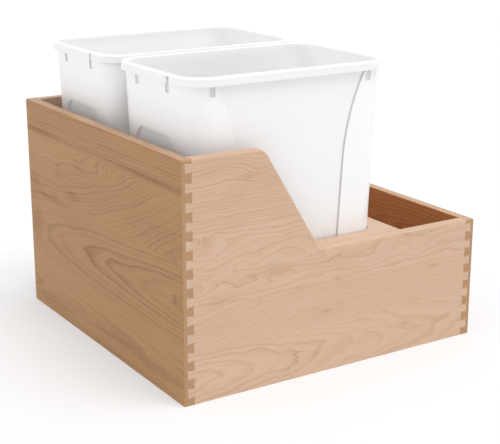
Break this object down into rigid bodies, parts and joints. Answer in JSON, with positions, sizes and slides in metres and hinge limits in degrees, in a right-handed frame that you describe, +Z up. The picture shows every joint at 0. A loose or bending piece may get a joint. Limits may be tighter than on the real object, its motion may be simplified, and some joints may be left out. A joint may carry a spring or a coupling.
{
  "type": "pull-out bin box",
  "caption": "Dovetailed hardwood pull-out box with a high front and a stepped-down back, holding lift-out open-top polymer food or waste bins through a deck panel, with an open pocket behind.",
  "frame": {"origin": "on the floor at the centre of the wooden box's footprint", "axes": "+Z up; the tall front panel's outer face looks along -Y; +X is to the right of a person who looks at the tall front"},
  "size_m": [0.562, 0.559, 0.482],
  "materials": {
    "solid_maple": "clear satin lacquer on light maple, edge-glued boards",
    "maple_plywood": "clear satin lacquer on maple-faced plywood",
    "zinc_screw": "bright zinc plated",
    "white_polymer": "fine satin moulded white polymer"
  },
  "bodies": {
    "root": {"front_board_1": "solid_maple", "front_board_2": "solid_maple", "front_board_3": "solid_maple", "front_board_4": "solid_maple", "back_board_1": "solid_maple", "back_board_2": "solid_maple", "left_side_board_1": "solid_maple", "left_side_board_2": "solid_maple", "left_side_board_3": "solid_maple", "left_side_board_4": "solid_maple", "right_side_board_1": "solid_maple", "right_side_board_2": "solid_maple", "right_side_board_3": "solid_maple", "right_side_board_4": "solid_maple", "bottom_panel": "maple_plywood", "deck_panel": "maple_plywood", "deck_cleat_front": "solid_maple", "deck_cleat_left": "solid_maple", "deck_cleat_right": "solid_maple", "cleat_screws": "zinc_screw", "deck_screws": "zinc_screw"},
    "bin_right": {"bin_right": "white_polymer"},
    "bin_left": {"bin_left": "white_polymer"}
  },
  "joints": [
    {"name": "bin_right_lift", "type": "slide", "parent": "root", "child": "bin_right", "axis": [0, 0, 1], "range_m": [0, 0.37]},
    {"name": "bin_left_lift", "type": "slide", "parent": "root", "child": "bin_left", "axis": [0, 0, 1], "range_m": [0, 0.37]}
  ]
}
